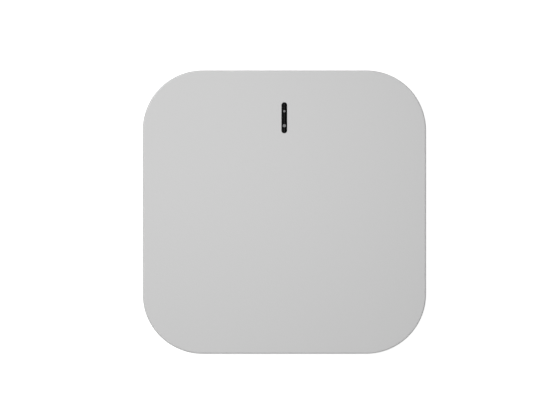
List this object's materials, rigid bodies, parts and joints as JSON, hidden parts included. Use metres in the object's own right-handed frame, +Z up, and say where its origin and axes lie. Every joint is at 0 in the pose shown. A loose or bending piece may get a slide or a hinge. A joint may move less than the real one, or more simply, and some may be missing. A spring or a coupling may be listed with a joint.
{
  "type": "smart home hub",
  "caption": "Low square hub housing with round corners, a status window in its roof and Ethernet, power and reset in its rear wall.",
  "frame": {"origin": "middle of the surface that the feet stand on", "axes": "+Z up, +Y towards the front edge nearest the status window, ports in the -Y wall"},
  "size_m": [0.09, 0.09, 0.023],
  "materials": {
    "cover_plastic": "fine moulded grain",
    "window_smoke": "smoked, polished",
    "guide_clear": "clear moulding, frosted tips",
    "shroud_black": "matt black moulding",
    "screw_steel": "zinc plated",
    "foot_rubber": "matt",
    "label_blank": "bare satin film",
    "board_mask": "solder mask over copper",
    "jack_black": "glass filled moulding",
    "shield_steel": "tin plated sheet",
    "contact_gold": "gold plated",
    "lamp_clear": "clear moulding",
    "socket_steel": "nickel plated",
    "button_grey": "satin moulding",
    "switch_black": "matt black moulding",
    "led_ivory": "encapsulant over white base",
    "package_black": "mould compound",
    "pad_blue": "soft filled silicone",
    "sink_aluminium": "black anodised",
    "module_mask": "solder mask over copper",
    "ferrite_grey": "pressed powder core",
    "can_aluminium": "drawn can",
    "ceramic_tan": "fired ceramic with tinned ends",
    "fuse_white": "ceramic with tinned ends"
  },
  "bodies": {
    "housing": {"top_cover": "cover_plastic", "bottom_cover": "cover_plastic", "status_window": "window_smoke", "light_guide": "guide_clear", "light_shroud": "shroud_black", "housing_screws": "screw_steel", "foot_front_left": "foot_rubber", "foot_front_right": "foot_rubber", "foot_rear_left": "foot_rubber", "foot_rear_right": "foot_rubber", "underside_label": "label_blank", "main_board": "board_mask", "board_screws": "screw_steel", "ethernet_jack_housing": "jack_black", "ethernet_jack_shield": "shield_steel", "ethernet_jack_contacts": "contact_gold", "ethernet_jack_lamps": "lamp_clear", "power_socket_shell": "socket_steel", "power_socket_tongue": "jack_black", "power_socket_contacts": "contact_gold", "reset_switch_body": "switch_black", "reset_switch_cover": "shield_steel", "power_led": "led_ivory", "network_led": "led_ivory", "processor": "package_black", "thermal_pad": "pad_blue", "heat_sink": "sink_aluminium", "memory_chip": "package_black", "flash_chip": "package_black", "ethernet_transformer": "package_black", "network_chip": "package_black", "radio_module_board": "module_mask", "radio_module_shield": "shield_steel", "radio_antenna": "contact_gold", "power_inductor": "ferrite_grey", "power_regulator": "package_black", "bulk_capacitors": "can_aluminium", "clock_crystal": "shield_steel", "small_capacitors": "ceramic_tan", "small_resistors": "package_black", "input_fuse": "fuse_white", "surge_diode": "package_black"},
    "reset_key": {"reset_button": "button_grey"},
    "switch_plunger": {"reset_switch_plunger": "switch_black"}
  },
  "joints": [
    {"name": "reset_press", "type": "slide", "parent": "housing", "child": "reset_key", "axis": [0, 1, 0], "range_m": [0, 0.0003], "stiffness_N_per_m": 1000, "springref_m": -0.001},
    {"name": "plunger_press", "type": "slide", "parent": "housing", "child": "switch_plunger", "axis": [0, 1, 0], "range_m": [0, 0.0003]}
  ],
  "couplings": [
    {"joint": "plunger_press", "follows": "reset_press", "ratio": 1}
  ]
}
